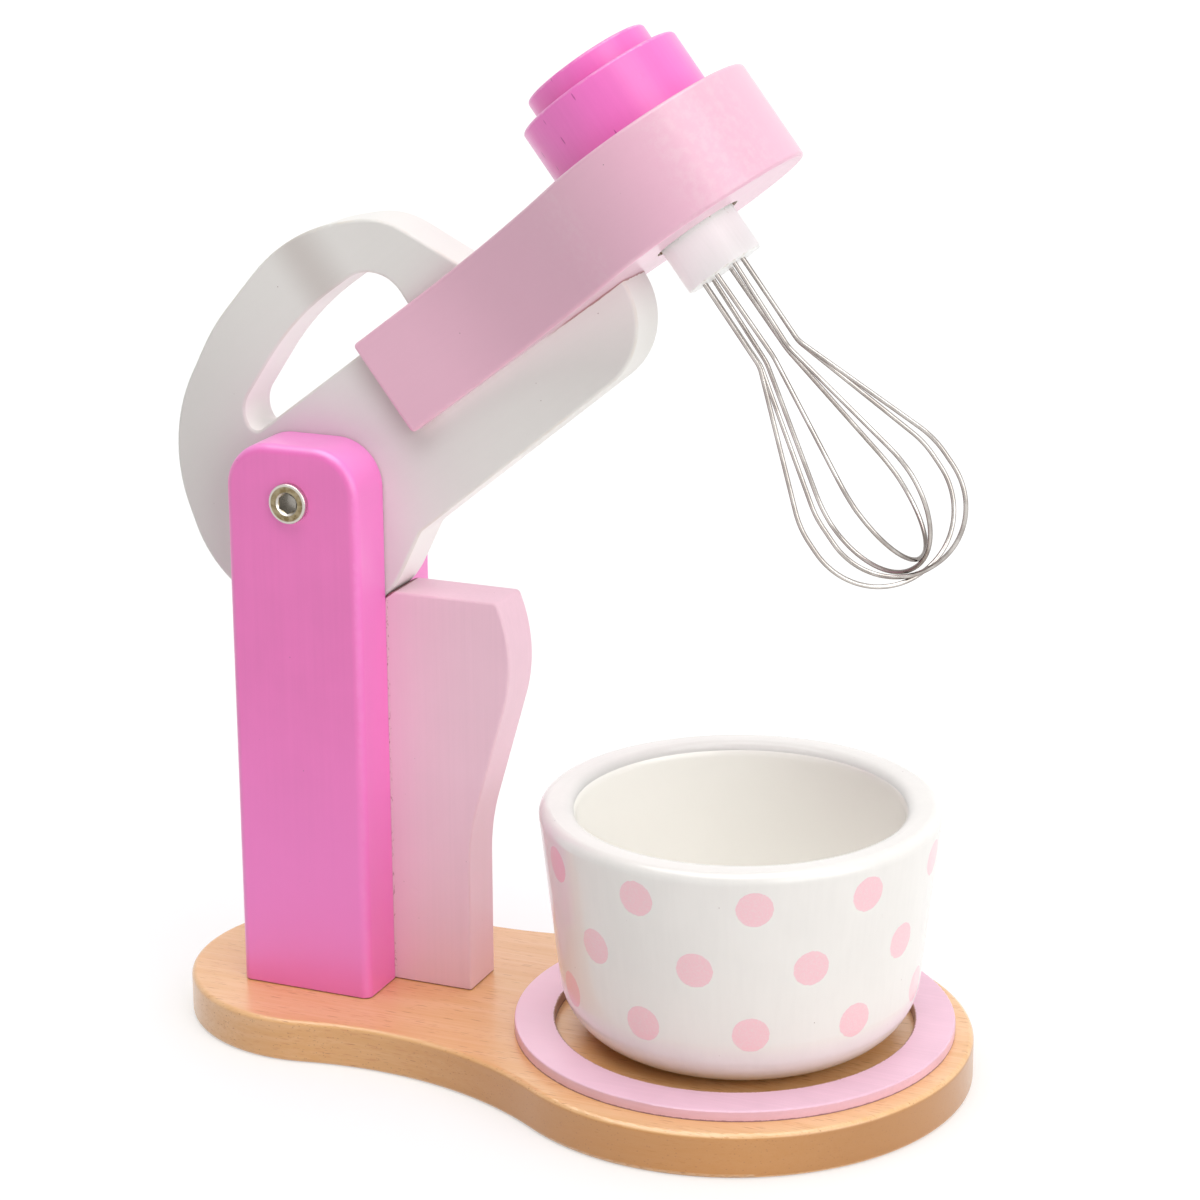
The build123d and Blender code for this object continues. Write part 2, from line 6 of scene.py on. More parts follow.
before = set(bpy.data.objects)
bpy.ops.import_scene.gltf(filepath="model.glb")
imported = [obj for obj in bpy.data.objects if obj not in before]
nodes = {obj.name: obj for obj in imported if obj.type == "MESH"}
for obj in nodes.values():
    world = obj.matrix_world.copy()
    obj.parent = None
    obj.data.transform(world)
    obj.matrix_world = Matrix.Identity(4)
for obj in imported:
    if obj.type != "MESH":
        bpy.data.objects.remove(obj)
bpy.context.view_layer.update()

MM = 0.001
scene = bpy.context.scene

# ---- camera: worked out from the photograph, in millimetres, degrees and pixels ------------
CAMERA_AZIMUTH = 22.179
CAMERA_ELEVATION = 14.316
CAMERA_ROLL = 0.195
CAMERA_PLACE = (276.36, -729.60, 369.73)
IMAGE_SIZE = 1200
FOCAL_PX = 3143.74
CENTRE_PX = (660.0, 450.0)
SENSOR = 36.0

# ---- light: a wide soft lamp overhead, one from the right, and a room bright behind ---------
LAMPS = {
    "overhead": {"from": (0.00, -0.14, 1.00), "strength": 2.30, "width": 60.0,
                 "colour": (1.0, 0.99, 0.98)},
    "right_side": {"from": (0.84, -0.36, 0.30), "strength": 1.35, "width": 56.0,
                   "colour": (1.0, 0.99, 0.97)},
}
PURE_WHITE = (1.0, 1.0, 1.0, 1.0)
ROOM_LIGHT = 0.06  # how bright the room is all round
ROOM_SLOPE = 0.6  # how much brighter, in parts, to the right and darker to the left
ROOM_BEHIND = 1.0  # what is added behind the object
ROOM_BEHIND_FROM = (0.0, 0.9)  # the y of a direction where that starts and where it is whole
FLOOR_HALF = 12.0  # metres
FLOOR_BOUNCE = 0.82  # the floor's grey where it lights the object
FLOOR_LIFT = 0.50  # the part of the seen floor's white that takes no shadow

# ---- sizes the materials share with the model, millimetres ---------------------------------
PIVOT = (-117.3, 0.0, 150.9)
REST_TILT = 37.15
POST_FRONT_X = -97.7
POST_FACE_Y = 23.6
WHISK_X = 131.2
HEAD_BOTTOM = -3.45
POCKET_R = 12.2
HEAD_REAR_X = 35.8
HOLE_SPAN = (-9.0, 55.0)
HOLE_TOP = 42.5
HEEL_REACH = 34.1
BOWL_X = 1.5
BOARD_TOP_Z = 12.0
BOWL_LIP_Z = 73.7
BOWL_LIP_R = 48.2
RING_INNER_R = 48.2
PIVOT_RIM_R = 4.75
HEX_REACH = 2.9
HEX_MOUTH_R = 3.2

WIRE_PAINTED_LIGHT_WAY = (0.37, -0.90, 0.24)  # the way the wires' painted-light side faces; the sides square to it get painted shade
SHADE_BESIDE_HEAD = (11.0, 12.0)  # how far the arm is shaded behind the head and under it
SEAM_REACH = 16.0  # how far the painted light on the block reaches from the post
TREE_HEART = (-46.0, -88.0)  # y and z of the middle of the board's year rings
YEAR_RING = 6.2
TURNING_PITCH = 0.35

# ---- where a tint, painted light or painted shade starts and where it is whole, millimetres ---
HEAD_PAINTED_SHADE_X = (50.0, 85.0, 104.0, 126.0)  # where the painted shade on the head starts, is whole, fades again and ends
GAP_FROM_X = (80.0, 92.0)
HANDLE_PAINTED_SHADE_X = (30.0, -25.0)
SEAM_DEPTH = (-3.0, -2.0)
POST_PAINTED_LIGHT_Z = (110.0, 25.0)
BLOCK_PAINTED_LIGHT_Z = (150.0, 60.0)
BLOCK_NOSE_PAINTED_LIGHT_Z = (105.0, 30.0)
RING_PAINTED_LIGHT_X = (10.0, -45.0)
BOARD_RIPE_AND_SHADE_X = (-95.0, -40.0)

# ---- the pattern of dots: height, first angle and step in degrees, how many ----------------
DOT_ROWS = [(66.4, -133.4, 34.0, 10), (48.7, -116.5, 34.0, 10), (30.9, -133.9, 33.9, 10)]
DOT_R = 4.75
DOTS_BEHIND = 3

# ---- scattered spots: spacing in millimetres and radius in parts of it ---------------------
SPECKS = (7.0, 0.030)
PALE_SPECKS = (6.0, 0.030)
HOLLOWS = (17.0, 0.055)
LONG_PORES = ((13.0, 1.15, 1.15), 0.16)
PORES = ((6.5, 0.55, 0.55), 0.18)
DASHES = ((8.0, 0.75, 0.75), 0.30)
SIDE_PORES = ((1.5, 1.1, 1.1), 0.19)
SCRATCHES = ((2.8, 2.8, 15.0), 0.095)

# ---- paints and bare materials, and the colours of painted light and shade -----------------
HOT_PINK = (0.93, 0.170, 0.555)
HOT_PINK_PAINTED_LIGHT = (0.99, 0.215, 0.67)
KNOB_PINK = (0.97, 0.19, 0.63)
PALE_PINK = (0.88, 0.50, 0.645)
BLOCK_PINK = (0.92, 0.59, 0.71)
RING_PINK = (0.92, 0.59, 0.735)
RING_PINK_PAINTED_LIGHT = (1.0, 0.70, 0.83)
WHITE = (0.86, 0.845, 0.815)
COLLAR_WHITE = (0.985, 1.0, 0.99)
BOWL_WHITE = (0.92, 0.90, 0.87)
BOWL_INSIDE_PAINTED_LIGHT = (1.0, 0.985, 0.94)
DOT_PINK = (0.985, 0.615, 0.68)
WOOD_LIGHT = (0.90, 0.56, 0.28)
WOOD_DARK = (0.80, 0.43, 0.16)
WOOD_RIPE_AND_SHADE = (0.58, 0.24, 0.045)
WOOD_RED = (0.66, 0.27, 0.10)
WOOD_PORE = (0.40, 0.14, 0.05)
RAW_BROWN = (0.33, 0.15, 0.065)
RAW_POCKET = (0.72, 0.66, 0.60)
# dirt specks, and the painted shade along the feet of parts
DIRT_AND_CONTACT_SHADE = (0.16, 0.05, 0.05)
HOT_PINK_PAINTED_HIGHLIGHT = (1.0, 0.31, 0.78)
HOT_PINK_RUBBED = (0.97, 0.27, 0.66)
KNOB_RUBBED = (0.95, 0.42, 0.70)
KNOB_SCRATCH = (0.36, 0.02, 0.17)
HEAD_RUBBED = (0.90, 0.60, 0.70)
BLOCK_RUBBED = (0.93, 0.66, 0.72)
BLOCK_PAINTED_LIGHT_BY_POST = (0.86, 0.70, 0.76)
BLOCK_PAINTED_LIGHT_LOW = (1.0, 0.80, 0.90)
BLOCK_NOSE_PAINTED_LIGHT = (1.0, 0.74, 0.82)
BLOCK_PAINTED_CONTACT_SHADE = (0.20, 0.03, 0.04)
SEAM_FILL = (0.88, 0.72, 0.74)
SEAM_CRACK = (0.36, 0.10, 0.16)
ARM_RUBBED = (0.74, 0.62, 0.50)
ARM_GAP = (0.36, 0.10, 0.09)
ARM_SHADED = (0.42, 0.34, 0.31)
ARM_HOLE_PAINTED_LIGHT = (0.98, 0.95, 0.93)
COLLAR_RUBBED = (0.62, 0.50, 0.40)
BOWL_FOOT_PAINTED_SHADE = (0.60, 0.47, 0.34)
WIRE_TONES = ((0.42, 0.385, 0.36), (0.64, 0.61, 0.58))
WIRE_DRAWN = (0.34, 0.29, 0.26)
WIRE_PAINTED_SHADE = (0.15, 0.12, 0.105)
ZINC_TONES = ((0.20, 0.15, 0.075), (0.34, 0.28, 0.175))
ZINC_RUBBED = (0.64, 0.61, 0.57)
SOCKET = (0.34, 0.32, 0.29)
PLAIN_WOOD_TONES = ((0.52, 0.33, 0.17), (0.78, 0.57, 0.35))
NYLON_TONES = ((0.78, 0.77, 0.72), (0.86, 0.85, 0.80))


class Net:
    """A tree of nodes under construction."""

    def __init__(self, owner):
        owner.use_nodes = True
        self.tree = owner.node_tree

    def add(self, kind, *ordered, props=None, **named):
        made = self.tree.nodes.new("ShaderNode" + kind)
        for key, value in (props or {}).items():
            setattr(made, key, value)
        for index, value in enumerate(ordered):
            self.feed(made.inputs[index], value)
        for key, value in named.items():
            self.feed(made.inputs[key], value)
        return made

    def feed(self, socket, value):
        if isinstance(value, bpy.types.NodeSocket):
            self.tree.links.new(value, socket)
        elif value is not None:
            socket.default_value = value

    def maths(self, operation, *values):
        return self.add("Math", *values, props={"operation": operation}).outputs[0]

    def ramp(self, value, low, high, top=1.0):
        props = {"interpolation_type": "SMOOTHSTEP"}
        return self.add("MapRange", value, low, high, 0.0, top, props=props).outputs[0]

    def seen_rays(self):
        """1 for rays that show the background: straight, mirrored or through something clear."""
        path = self.add("LightPath").outputs
        seen = self.maths("MAXIMUM", path["Is Camera Ray"], path["Is Glossy Ray"])
        return self.maths("MAXIMUM", seen, path["Is Transmission Ray"])


class Look(Net):
    """A material under construction. Lengths are millimetres, places are the object's at rest."""

    def __init__(self, name, **surface):
        self.material = bpy.data.materials.new(name)
        super().__init__(self.material)
        self.surface = self.tree.nodes["Principled BSDF"]
        for socket, value in surface.items():
            self.surface.inputs[socket.replace("_", " ")].default_value = value
        place = self.add("TexCoord")
        self.spot = self.scaled(place.outputs["Object"], 1 / MM)
        self.facing = place.outputs["Normal"]

    def vector(self, operation, *values):
        return self.add("VectorMath", *values, props={"operation": operation}).outputs["Vector"]

    def scaled(self, vector, by):
        return self.add("VectorMath", vector, props={"operation": "SCALE"}, Scale=by).outputs[0]

    def length(self, vector):
        return self.add("VectorMath", vector, props={"operation": "LENGTH"}).outputs["Value"]

    def along(self, vector, way):
        made = self.add("VectorMath", vector, way, props={"operation": "DOT_PRODUCT"})
        return made.outputs["Value"]

    def joined(self, x, y, z):
        return self.add("CombineXYZ", x, y, z).outputs[0]

    def parts(self, vector):
        return self.add("SeparateXYZ", vector).outputs

    def in_arm(self, vector, direction=False):
        """The same in the tilted arm's frame: x along the arm from the pivot, z square to it."""
        if not direction:
            vector = self.vector("SUBTRACT", vector, PIVOT)
        return self.add("VectorRotate", props={"rotation_type": "Y_AXIS"}, Vector=vector,
                        Angle=math.radians(REST_TILT)).outputs[0]

    def shrunk(self, where, size):
        """A place in parts of a size, which is one number or one for each axis."""
        sizes = size if isinstance(size, tuple) else (size,) * 3
        return self.vector("MULTIPLY", where, tuple(1 / s for s in sizes))

    def noise(self, where, size, detail=2.0, roughness=0.5):
        """Noise about 0.5; size is its grain."""
        return self.add("TexNoise", Vector=self.shrunk(where, size), Scale=1.0, Detail=detail,
                        Roughness=roughness).outputs["Fac"]

    def spots(self, where, spacing, radius, shift=None):
        """1 in scattered spots of this radius, in parts of the spacing, and 0 elsewhere."""
        if shift:
            where = self.vector("ADD", where, shift)
        cell = self.add("TexVoronoi", Vector=self.shrunk(where, spacing), Scale=1.0)
        return self.ramp(cell.outputs["Distance"], radius, 0.55 * radius)

    def mix(self, amount, first, second):
        """Colours mixed; the node's colour sockets are 6 and 7, and 2 of its outputs."""
        made = self.add("Mix", props={"data_type": "RGBA"})
        for index, value in ((0, amount), (6, first), (7, second)):
            self.feed(made.inputs[index], (*value, 1.0) if isinstance(value, tuple) else value)
        return made.outputs[2]

    def both(self, *masks):
        value = masks[0]
        for mask in masks[1:]:
            value = self.maths("MULTIPLY", value, mask)
        return value

    def part(self, mask, amount):
        return self.maths("MULTIPLY", mask, amount)

    def bump(self, height, depth, over=None):
        named = {"Strength": 1.0, "Distance": depth * MM, "Height": height, "Normal": over}
        return self.add("Bump", **named).outputs[0]

    def patch(self, where, size, detail, roughness, low, high):
        """Blotches of noise, from 0 to 1."""
        return self.ramp(self.noise(where, size, detail, roughness), low, high)

    def edge(self, component):
        """1 on a plank's rounded edges, where the surface turns away from its face."""
        steep = self.maths("ABSOLUTE", component)
        return self.both(self.ramp(steep, 0.12, 0.35), self.ramp(steep, 0.97, 0.85))

    def finish(self, colour, roughness=None, normal=None):
        self.feed(self.surface.inputs["Base Color"], colour)
        self.feed(self.surface.inputs["Roughness"], roughness)
        self.feed(self.surface.inputs["Normal"], normal)
        return self.material


def darker(colour, by):
    return tuple(c * by for c in colour)


def lighter(colour, by, plus):
    return tuple(min(1.0, c * by + plus) for c in colour)


def paint(look, where, colour, grain, grain_shows=0.5, peel=0.012, roughness=0.40, dents=0.05,
          tint=0.90):
    """Satin paint on wood: uneven coat, grain that shows, orange peel, specks and dents."""
    cloud = look.noise(where, 22.0, 3.0)
    streak = look.noise(where, grain, 4.0, 0.6)
    shade = look.mix(look.ramp(cloud, 0.30, 0.70), darker(colour, tint), colour)
    shade = look.mix(look.part(look.ramp(streak, 0.45, 0.72), grain_shows * 0.5), shade,
                     lighter(colour, 1.06, 0.02))
    shade = look.mix(look.part(look.ramp(streak, 0.55, 0.25), grain_shows * 0.35), shade,
                     darker(colour, 0.82))
    shade = look.mix(look.part(look.spots(where, *SPECKS), 0.55), shade, DIRT_AND_CONTACT_SHADE)
    pale = look.spots(where, *PALE_SPECKS, shift=(31.0, 17.0, 5.0))
    shade = look.mix(look.part(pale, 0.35), shade, lighter(colour, 1.12, 0.05))
    skin = look.noise(where, 1.3, 2.0, 0.6)
    fine = look.noise(where, 0.35, 1.0)
    waves = look.noise(where, 9.0, 1.0)
    hollow = look.spots(where, *HOLLOWS, shift=(3.0, 41.0, 13.0))
    normal = look.bump(waves, 0.05)
    normal = look.bump(skin, peel, normal)
    normal = look.bump(streak, 0.010 * grain_shows, normal)
    normal = look.bump(look.maths("SUBTRACT", fine, hollow), dents * 0.06, normal)
    normal = look.bump(look.maths("SUBTRACT", 1.0, hollow), dents, normal)
    rough = look.maths("MULTIPLY_ADD", look.noise(where, 5.0, 3.0), 0.16, roughness - 0.08)
    return shade, rough, normal


def painted_foot_shade(look, shade):
    """Painted shade: the thin dark line where paint meets the board."""
    above = look.maths("SUBTRACT", look.parts(look.spot)[2], BOARD_TOP_Z)
    low = look.maths("MULTIPLY_ADD", look.noise(look.spot, 1.5, 3.0, 0.7), 0.5, above)
    return look.mix(look.part(look.ramp(low, 0.72, 0.42), 0.75), shade, DIRT_AND_CONTACT_SHADE)


def worn_edge(look, shade, where, edge, tone, amount, size=2.2):
    """The wood or thin paint that shows along a rubbed edge."""
    rubbed = look.both(edge, look.patch(where, size, 4.0, 0.65, 0.38, 0.68))
    return look.mix(look.part(rubbed, amount), shade, tone)


# ---- the materials -------------------------------------------------------------------------
def board_look():
    look = Look("rubberwood", IOR=1.5, Coat_Weight=0.8, Coat_Roughness=0.22, Coat_IOR=1.55)
    where = look.spot
    drift = look.noise(where, (130.0, 26.0, 26.0), 3.0, 0.5)
    bend = look.noise(where, (60.0, 9.0, 9.0), 2.0)
    x, y, z = look.parts(where)[:3]
    across = look.joined(0.0, *(look.maths("SUBTRACT", v, c) for v, c in zip((y, z), TREE_HEART)))
    reach = look.maths("ADD", look.length(across), look.part(bend, 16.0))
    rings = look.maths("SINE", look.part(reach, 2 * math.pi / YEAR_RING))
    streak = look.noise(where, (95.0, 1.0, 1.0), 5.0, 0.62)
    fibre = look.noise(where, (16.0, 0.30, 0.30), 3.0, 0.6)
    tone = look.maths("MULTIPLY_ADD", rings, 0.07, look.part(drift, 0.9))
    tone = look.maths("ADD", tone, look.part(streak, 0.8))
    tone = look.maths("ADD", tone, look.part(fibre, 0.40))
    shade = look.mix(look.ramp(tone, 0.74, 1.38), WOOD_DARK, WOOD_LIGHT)
    long_pores = look.spots(where, *LONG_PORES)
    pores = look.spots(where, *PORES, shift=(7.0, 3.0, 1.0))
    opened = look.maths("MAXIMUM", look.part(long_pores, 0.60), look.part(pores, 0.45))
    shade = look.mix(opened, shade, WOOD_PORE)
    dashes = look.both(look.spots(where, *DASHES, shift=(2.0, 9.0, 4.0)),
                       look.patch(where, (45.0, 7.0, 7.0), 3.0, 0.5, 0.36, 0.60))
    shade = look.mix(look.part(dashes, 0.55), shade, WOOD_RED)
    forward, _, upward = look.parts(look.facing)[:3]
    end = look.ramp(look.maths("ABSOLUTE", forward), 0.55, 0.98)
    shade = look.mix(look.part(end, 0.28), shade, WOOD_DARK)
    # the board's sides are darker, more so towards the right: partly the wood's own deeper tone,
    # partly painted shade
    side = look.ramp(look.maths("ABSOLUTE", upward), 0.6, 0.2)
    riper_and_painted_shade = look.both(side, look.maths("MULTIPLY_ADD", look.ramp(x, *BOARD_RIPE_AND_SHADE_X), 0.62, 0.22))
    shade = look.mix(riper_and_painted_shade, shade, WOOD_RIPE_AND_SHADE)
    open_end = look.both(side, look.spots(where, *SIDE_PORES, shift=(1.0, 5.0, 2.0)))
    shade = look.mix(look.part(open_end, 0.45), shade, WOOD_PORE)
    # painted shade: the board's side is darker where it faces the right
    board_nose_painted_shade = look.both(side, look.ramp(forward, 0.35, 0.85))
    shade = look.mix(look.part(board_nose_painted_shade, 0.45), shade, darker(WOOD_RIPE_AND_SHADE, 0.6))
    normal = look.bump(look.noise(where, (40.0, 8.0, 8.0), 2.0), 0.10)
    normal = look.bump(look.maths("SUBTRACT", fibre, opened), 0.012, normal)
    normal = look.bump(look.noise(where, 1.6, 2.0), 0.010, normal)
    rough = look.maths("MULTIPLY_ADD", opened, 0.2, look.maths("MULTIPLY_ADD", streak, 0.12, 0.34))
    return look.finish(shade, rough, normal)


def post_look():
    look = Look("hot_pink_post", IOR=1.5, Coat_Weight=0.7, Coat_Roughness=0.28, Coat_IOR=1.6)
    shade, rough, normal = paint(look, look.spot, HOT_PINK, (1.1, 1.1, 60.0), 0.22,
                                 roughness=0.40, dents=0.04, tint=0.95)
    forward, sideways, upward = look.parts(look.facing)[:3]
    # painted light: the post's forward-facing side and its lower part are mixed towards a lighter
    # pink
    post_painted_light = look.maths("MAXIMUM", look.ramp(forward, 0.3, 0.9),
                     look.ramp(look.parts(look.spot)[2], *POST_PAINTED_LIGHT_Z))
    shade = look.mix(look.part(post_painted_light, 0.8), shade, HOT_PINK_PAINTED_LIGHT)
    # painted highlight: the upward-facing crown of the post is mixed towards a lighter pink
    shade = look.mix(look.part(look.ramp(upward, 0.25, 0.85), 0.7), shade, HOT_PINK_PAINTED_HIGHLIGHT)
    shade = worn_edge(look, shade, look.spot, look.edge(sideways), HOT_PINK_RUBBED, 0.30)
    shade = painted_foot_shade(look, shade)
    return look.finish(shade, rough, normal)


def knob_look():
    look = Look("hot_pink_knob", IOR=1.5, Coat_Weight=0.5, Coat_Roughness=0.20, Coat_IOR=1.5)
    where = look.in_arm(look.spot)
    shade, rough, normal = paint(look, where, KNOB_PINK, (1.0, 1.0, 22.0), 0.3,
                                 roughness=0.34, dents=0.06, tint=0.95)
    shade = look.mix(look.part(look.spots(where, *SCRATCHES), 0.6), shade, KNOB_SCRATCH)
    edge = look.edge(look.parts(look.in_arm(look.facing, True))[2])
    shade = worn_edge(look, shade, where, edge, KNOB_RUBBED, 0.5)
    return look.finish(shade, rough, normal)


def head_look():
    look = Look("pale_pink_head", IOR=1.5, Coat_Weight=0.5, Coat_Roughness=0.16)
    where = look.in_arm(look.spot)
    shade, rough, normal = paint(look, where, PALE_PINK, (45.0, 0.9, 0.9), 0.10,
                                 roughness=0.38, dents=0.04, tint=0.985)
    shade = worn_edge(look, shade, where, look.edge(look.parts(look.facing)[1]), HEAD_RUBBED, 0.5)
    x, y = look.parts(where)[:2]
    starts, full, fading, ends = HEAD_PAINTED_SHADE_X
    # painted shade: the head's cheek is darker in a band before its round front
    head_painted_shade = look.both(look.ramp(x, starts, full), look.ramp(x, ends, fading))
    shade = look.mix(look.part(head_painted_shade, 0.5), shade, darker(PALE_PINK, 0.80))
    round_whisk = look.joined(look.maths("SUBTRACT", x, WHISK_X), y, 0.0)
    ragged = look.noise(where, (1.2, 1.2, 4.0), 3.0, 0.7)
    out = look.maths("MULTIPLY_ADD", ragged, 0.9, look.length(round_whisk))
    pocket = look.ramp(out, POCKET_R + 0.75, POCKET_R + 0.45)
    shade = look.mix(pocket, shade, RAW_POCKET)
    sliver = look.both(pocket, look.patch(where, (1.1, 1.1, 5.0), 3.0, 0.7, 0.50, 0.60))
    shade = look.mix(look.part(sliver, 0.9), shade, RAW_BROWN)
    return look.finish(shade, rough, normal)


def block_look():
    look = Look("pale_pink_block", IOR=1.5, Coat_Weight=0.18, Coat_Roughness=0.32)
    where = look.spot
    shade, rough, normal = paint(look, where, BLOCK_PINK, (0.9, 0.9, 70.0), 0.32,
                                 roughness=0.42, dents=0.04, tint=0.96)
    forward, sideways = look.parts(look.facing)[:2]
    shade = worn_edge(look, shade, where, look.edge(sideways), BLOCK_RUBBED, 0.5)
    x, _, z = look.parts(where)[:3]
    from_post = look.maths("SUBTRACT", x, POST_FRONT_X)
    showing = look.ramp(from_post, *SEAM_DEPTH)
    # painted light: the block is paler and less pink near the post
    block_painted_light = look.both(look.ramp(from_post, SEAM_REACH, 0.0), showing)
    shade = look.mix(look.part(block_painted_light, 0.40), shade, BLOCK_PAINTED_LIGHT_BY_POST)
    ragged = look.part(look.noise(where, (0.7, 0.7, 2.2), 4.0, 0.75), 1.1)
    squeeze = look.both(look.ramp(look.maths("SUBTRACT", from_post, ragged), 0.0, -0.25), showing)
    shade = look.mix(look.part(squeeze, 0.6), shade, SEAM_FILL)
    crack = look.both(squeeze, look.patch(where, (0.6, 0.6, 1.3), 3.0, 0.7, 0.56, 0.62))
    shade = look.mix(look.part(crack, 0.65), shade, SEAM_CRACK)
    # painted light: the block's lower part, and more so its forward-facing lower nose, are mixed
    # towards a lighter pink
    shade = look.mix(look.part(look.ramp(z, *BLOCK_PAINTED_LIGHT_Z), 0.25), shade, BLOCK_PAINTED_LIGHT_LOW)
    block_nose_painted_light = look.both(look.ramp(forward, 0.4, 0.8), look.ramp(z, *BLOCK_NOSE_PAINTED_LIGHT_Z))
    shade = look.mix(look.part(block_nose_painted_light, 0.45), shade, BLOCK_NOSE_PAINTED_LIGHT)
    # painted shade: a dark line on the block where the arm's heel touches it
    from_pivot = look.vector("MULTIPLY", look.vector("SUBTRACT", where, PIVOT), (1.0, 0.0, 1.0))
    heel_painted_shade = look.ramp(look.length(from_pivot), HEEL_REACH + 0.75, HEEL_REACH + 0.45)
    shade = look.mix(look.part(heel_painted_shade, 0.9), shade, BLOCK_PAINTED_CONTACT_SHADE)
    shade = painted_foot_shade(look, shade)
    return look.finish(shade, rough, normal)


def ring_look():
    look = Look("pale_pink_ring", IOR=1.5, Coat_Weight=0.20, Coat_Roughness=0.30)
    where = look.spot
    shade, rough, normal = paint(look, where, RING_PINK, (40.0, 0.9, 0.9), 0.45,
                                 roughness=0.40, dents=0.04)
    x, y = look.parts(where)[:2]
    # painted light: the ring is mixed towards a lighter pink on its left
    shade = look.mix(look.part(look.ramp(x, *RING_PAINTED_LIGHT_X), 0.7), shade, RING_PINK_PAINTED_LIGHT)
    radius = look.length(look.joined(x, y, 0.0))
    fuzz = look.maths("MULTIPLY_ADD", look.noise(where, 0.8, 4.0, 0.7), -0.9, radius)
    inner = look.ramp(fuzz, RING_INNER_R + 0.10, RING_INNER_R - 0.25)
    shade = look.mix(look.part(inner, 0.9), shade, RAW_BROWN)
    shade = painted_foot_shade(look, shade)
    return look.finish(shade, rough, normal)


def arm_look():
    look = Look("white_arm", IOR=1.5, Coat_Weight=0.15, Coat_Roughness=0.35)
    where = look.in_arm(look.spot)
    shade, rough, normal = paint(look, where, WHITE, (50.0, 1.0, 1.0), 0.08,
                                 roughness=0.45, dents=0.04, tint=0.99)
    sideways = look.parts(look.facing)[1]
    shade = worn_edge(look, shade, where, look.edge(sideways), ARM_RUBBED, 0.28, size=9.0)
    x, _, z = look.parts(where)[:3]
    below = look.maths("SUBTRACT", HEAD_BOTTOM, z)
    thin = look.maths("MULTIPLY_ADD", look.noise(where, (6.0, 2.0, 2.0), 3.0, 0.6), 0.7, 0.02)
    gap = look.both(look.ramp(look.maths("SUBTRACT", below, thin), 0.06, -0.12),
                    look.ramp(x, *GAP_FROM_X))
    shade = look.mix(look.part(gap, 0.75), shade, ARM_GAP)
    behind_head, under_cheek = SHADE_BESIDE_HEAD
    beside = look.both(look.ramp(x, HEAD_REAR_X - behind_head, HEAD_REAR_X),
                       look.ramp(x, HEAD_REAR_X + under_cheek, HEAD_REAR_X),
                       look.ramp(z, HEAD_BOTTOM - 9.0, HEAD_BOTTOM + 3.0))
    shade = look.mix(look.part(beside, 0.40), shade, ARM_SHADED)
    # painted shade: the arm is darker towards its handle
    shade = look.mix(look.part(look.ramp(x, *HANDLE_PAINTED_SHADE_X), 0.75), shade, darker(WHITE, 0.80))
    rear, front = HOLE_SPAN
    # painted light: the inner wall of the handle's hole is mixed towards a lighter white
    hole_painted_light = look.both(look.ramp(look.maths("ABSOLUTE", sideways), 0.5, 0.2),
                     look.ramp(x, rear, rear + 1.0), look.ramp(x, front, front - 1.0),
                     look.ramp(z, HOLE_TOP, HOLE_TOP - 1.0))
    shade = look.mix(look.part(hole_painted_light, 0.8), shade, ARM_HOLE_PAINTED_LIGHT)
    return look.finish(shade, rough, normal)


def collar_look():
    look = Look("white_collar", IOR=1.5, Coat_Weight=0.7, Coat_Roughness=0.30)
    where = look.in_arm(look.spot)
    shade, rough, normal = paint(look, where, COLLAR_WHITE, (0.9, 0.9, 14.0), 0.5,
                                 roughness=0.45, dents=0.10, tint=0.97)
    upper = look.ramp(look.parts(where)[2], HEAD_BOTTOM - 3.0, HEAD_BOTTOM + 0.5)
    nicks = look.both(look.patch(where, 1.6, 3.0, 0.7, 0.62, 0.70), upper)
    shade = look.mix(look.part(nicks, 0.8), shade, RAW_BROWN)
    rim = look.edge(look.parts(look.in_arm(look.facing, True))[2])
    shade = worn_edge(look, shade, where, rim, COLLAR_RUBBED, 0.5, size=1.5)
    return look.finish(shade, rough, normal)


